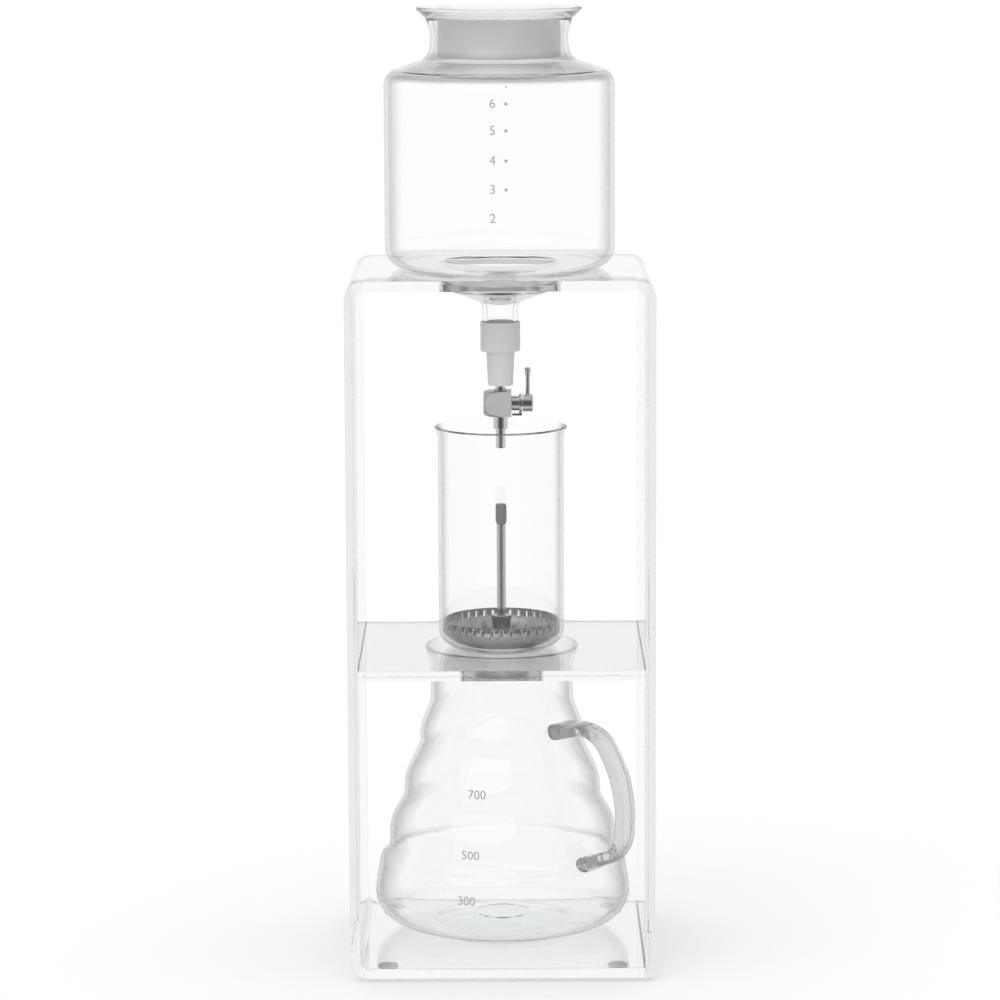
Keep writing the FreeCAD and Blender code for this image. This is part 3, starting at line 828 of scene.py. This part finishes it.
# %% Strainer
softened("strainer_band", "strainer", stainless, 0)
softened("strainer_plate", "strainer", stainless, 0)
softened("strainer_ring", "strainer", stainless, 0.2)
softened("rod_boss", "strainer", stainless, 0.25)
softened("strainer_rod", "strainer", steel_rod, 0.15)
softened("rod_knob", "strainer", knob_plastic, 0.4, segments=3)

# %% [markdown]
# Four bumper feet of moulded polyurethane, stuck on under the base. They are made flatter by a hair,
# so that their tops don't lie in the skin of the sheet.

# %% Feet
FLATTER = 0.98                                  # lowers their tops by 0.04 mm
feet = softened("bumper_feet", "stand", bumper, 0.5, segments=3)
feet.data.transform(Matrix.Scale(FLATTER, 4, (0, 0, 1)))
print("feet", round(max(v.co.z for v in feet.data.vertices) / MM, 2), "mm high")

# %% [markdown]
# ## Printed scales
# The bowl has a plain scale of cups with dots beside the numbers, and the server one of millilitres.
# Both are fired on in grey ink. Each number starts as flat text and becomes a mesh, and all the marks
# of one scale are joined.

# %% Flat marks
def flat_text(words, height):
    """A flat mesh of words, height mm tall, centred on the origin in the XZ plane."""
    curve = bpy.data.curves.new("words", "FONT")
    curve.body = words
    curve.align_x, curve.align_y = "CENTER", "CENTER"
    curve.resolution_u = 6
    text = bpy.data.objects.new("words", curve)
    bpy.context.scene.collection.objects.link(text)
    bpy.context.view_layer.update()
    mesh = bpy.data.meshes.new_from_object(text)
    bpy.data.objects.remove(text)
    bm = bmesh.new()
    bm.from_mesh(mesh)
    bpy.data.meshes.remove(mesh)
    tall = max(v.co.y for v in bm.verts) - min(v.co.y for v in bm.verts)
    bmesh.ops.scale(bm, verts=bm.verts, vec=(height * MM / tall,) * 3)
    bmesh.ops.rotate(bm, verts=bm.verts, cent=(0, 0, 0), matrix=Matrix.Rotation(math.pi / 2, 3, "X"))
    return bm


def flat_dot(radius):
    """A flat round mark of radius mm in the XZ plane."""
    bm = bmesh.new()
    bmesh.ops.create_circle(bm, cap_ends=True, segments=24, radius=radius * MM)
    bmesh.ops.rotate(bm, verts=bm.verts, cent=(0, 0, 0), matrix=Matrix.Rotation(math.pi / 2, 3, "X"))
    return bm


def place_marks(marks):
    """Join flat marks into one mesh. marks is a list of (mesh, x, z) in mm."""
    bm = bmesh.new()
    for mark, x, z in marks:
        bmesh.ops.translate(mark, verts=mark.verts, vec=(x * MM, 0, z * MM))
        mesh = bpy.data.meshes.new("mark")
        mark.to_mesh(mesh)
        mark.free()
        bm.from_mesh(mesh)
        bpy.data.meshes.remove(mesh)
    return bm


# %% [markdown]
# The marks are then pushed onto the glass along Y by a Shrinkwrap modifier that stops just clear of the
# surface, and what the modifier leaves becomes the mesh.

# %% Print on glass
INK_GAP = 0.09                                  # clear of the glass, mm
IN_FRONT = 50.0                                 # the marks start this far in front of the stand, mm


def printed(marks, name, body, glass_piece):
    """Push flat marks in front of a glass piece onto it. The ink has no thickness of its own."""
    bm = place_marks(marks)
    bmesh.ops.remove_doubles(bm, verts=bm.verts, dist=0.01 * MM)
    bmesh.ops.translate(bm, verts=bm.verts, vec=(0, stand_low.y - IN_FRONT * MM, 0))
    made = piece(bm, name, body, [ink])
    made.modifiers.clear()
    onto = made.modifiers.new("onto_glass", "SHRINKWRAP")
    onto.target = glass_piece
    onto.wrap_method = "PROJECT"
    onto.use_project_y = True
    onto.use_negative_direction = False
    onto.offset = INK_GAP * MM
    bpy.context.view_layer.update()
    wrapped = bmesh.new()
    wrapped.from_object(made, bpy.context.evaluated_depsgraph_get())
    made.modifiers.clear()
    bmesh.ops.recalc_face_normals(wrapped, faces=wrapped.faces)
    wrapped.to_mesh(made.data)
    wrapped.free()
    print(name, "nearest at y", round(min(v.co.y for v in made.data.vertices) / MM, 1), "mm")
    return made


# %% [markdown]
# A small dot near the shoulder marks a full bowl, and each number but the lowest has a larger one
# beside it. The server's numbers step to the left as its wall widens downwards.

# %% Scales
CUP_MARKS = ((6, 425.0), (5, 412.3), (4, 398.1), (3, 384.4), (2, 370.7))    # cups and height, mm
FULL_MARK = 433.0
NUMBER_X, DOT_X = -3.3, 3.1
FULL_DOT, CUP_DOT = 0.4, 0.75
CUP_FIGURE, VOLUME_FIGURE = 4.4, 4.2
cup_scale = [(flat_dot(FULL_DOT), DOT_X, FULL_MARK)]
for cups, height in CUP_MARKS:
    cup_scale.append((flat_text(str(cups), CUP_FIGURE), NUMBER_X, height))
    if cups > 2:
        cup_scale.append((flat_dot(CUP_DOT), DOT_X, height))
printed(cup_scale, "cup_scale", "reservoir", bowl_glass)

VOLUME_MARKS = ((700, -12.5, 84.3), (500, -15.8, 55.5), (300, -17.9, 34.1))    # millilitres, x and height
volume_scale = [(flat_text(str(volume), VOLUME_FIGURE), x, height) for volume, x, height in VOLUME_MARKS]
printed(volume_scale, "volume_scale", "server", server_body)

# %% [markdown]
# ## Floor
# A wide pale floor runs out of sight. It takes the object's shadow as any matt floor does, and glows a
# little on top, so that the open floor is white to the eye. What glass and metal show of it comes
# almost all from the glow, so that they show a white floor and keep their own greys.

# %% Floor
FLOOR_SIZE = 40.0                               # m
FLOOR_MATT, FLOOR_GLOW = "#C6C6C6", 0.45
THROUGH_GLASS_MATT, THROUGH_GLASS_GLOW = "#484848", 0.95

floor_mesh = bmesh.new()
bmesh.ops.create_grid(floor_mesh, x_segments=2, y_segments=2, size=FLOOR_SIZE / 2)
floor_data = bpy.data.meshes.new("floor")
floor_mesh.to_mesh(floor_data)
floor_mesh.free()
floor = bpy.data.objects.new("floor", floor_data)
bpy.context.scene.collection.objects.link(floor)
print("floor", FLOOR_SIZE, "m wide")

# %% [markdown]
# Light Path tells what kind of ray is asking. The floor's matt colour and its glow both depend on
# whether the ray comes straight from the eye or was sent on by a mirror or a lens.

# %% Floor material
def sent_on(tree):
    """1 for a ray that a mirror or a lens sends on, and 0 for any other."""
    path = add(tree, "LightPath").outputs
    either = {0: path["Is Glossy Ray"], 1: path["Is Transmission Ray"]}
    return add(tree, "Math", either, operation="MAXIMUM").outputs["Value"]


def seen(tree, by_eye=1.0, through_glass=1.0):
    """by_eye for a ray from the eye, through_glass for one that is sent on, 0 for light that falls."""
    straight = {0: add(tree, "LightPath").outputs["Is Camera Ray"], 1: by_eye}
    from_eye = add(tree, "Math", straight, operation="MULTIPLY").outputs["Value"]
    bent = {0: sent_on(tree), 1: through_glass}
    from_glass = add(tree, "Math", bent, operation="MULTIPLY").outputs["Value"]
    return add(tree, "Math", {0: from_eye, 1: from_glass}, operation="MAXIMUM").outputs["Value"]


def pale_floor():
    """Matt board that shows white by its glow, and takes a shadow."""
    material, tree = blank("studio_floor_matt_white")
    matt_colour = tinted(tree, sent_on(tree), FLOOR_MATT, THROUGH_GLASS_MATT)
    matt = add(tree, "BsdfDiffuse", {"Color": matt_colour})
    glow_share = seen(tree, FLOOR_GLOW, THROUGH_GLASS_GLOW)
    glow = add(tree, "Emission", {"Color": linear("#FFFFFF"), "Strength": glow_share})
    both = add(tree, "AddShader", {0: matt.outputs["BSDF"], 1: glow.outputs["Emission"]})
    add(tree, "OutputMaterial", {"Surface": both.outputs["Shader"]})
    return material


floor_data.materials.append(pale_floor())
print("floor material:", floor_data.materials[0].name)

# %% [markdown]
# ## Light
# The room is a white tent: soft light from all round, as glass is lit for a catalogue. What the eye,
# mirrors and lenses see of it is pure white, and what falls on matt things is a little less, so that
# pale grey stays pale grey. One broad soft lamp from the upper left gives the matt parts a shape.

# %% World and lamp
TENT_LIGHT = 0.92

world = bpy.data.worlds.new("white_tent")
bpy.context.scene.world = world
world.use_nodes = True
world.node_tree.nodes.clear()
tent = world.node_tree
strength = between(tent, seen(tent), TENT_LIGHT, 1.0)
background = add(tent, "Background", {"Color": linear("#FFFFFF"), "Strength": strength})
add(tent, "OutputWorld", {"Surface": background.outputs["Background"]})

lamp = bpy.data.objects.new("soft_lamp", bpy.data.lights.new("soft_lamp", "SUN"))
lamp.data.energy = 0.5
lamp.data.angle = math.radians(60)
lamp.rotation_euler = (math.radians(40), math.radians(-25), 0)
bpy.context.scene.collection.objects.link(lamp)
print("the tent gives", TENT_LIGHT, "and the lamp", lamp.data.energy)

# %% [markdown]
# ## Finish
# Light passes many skins of glass and acrylic on its way, and inside the sheets it runs on from face
# to face, so the renderer may follow it far.

# %% Bounces
BOUNCES = 24
bpy.context.scene.view_settings.view_transform = "Standard"
bpy.context.scene.cycles.max_bounces = BOUNCES
bpy.context.scene.cycles.transmission_bounces = BOUNCES
bpy.context.scene.cycles.glossy_bounces = BOUNCES
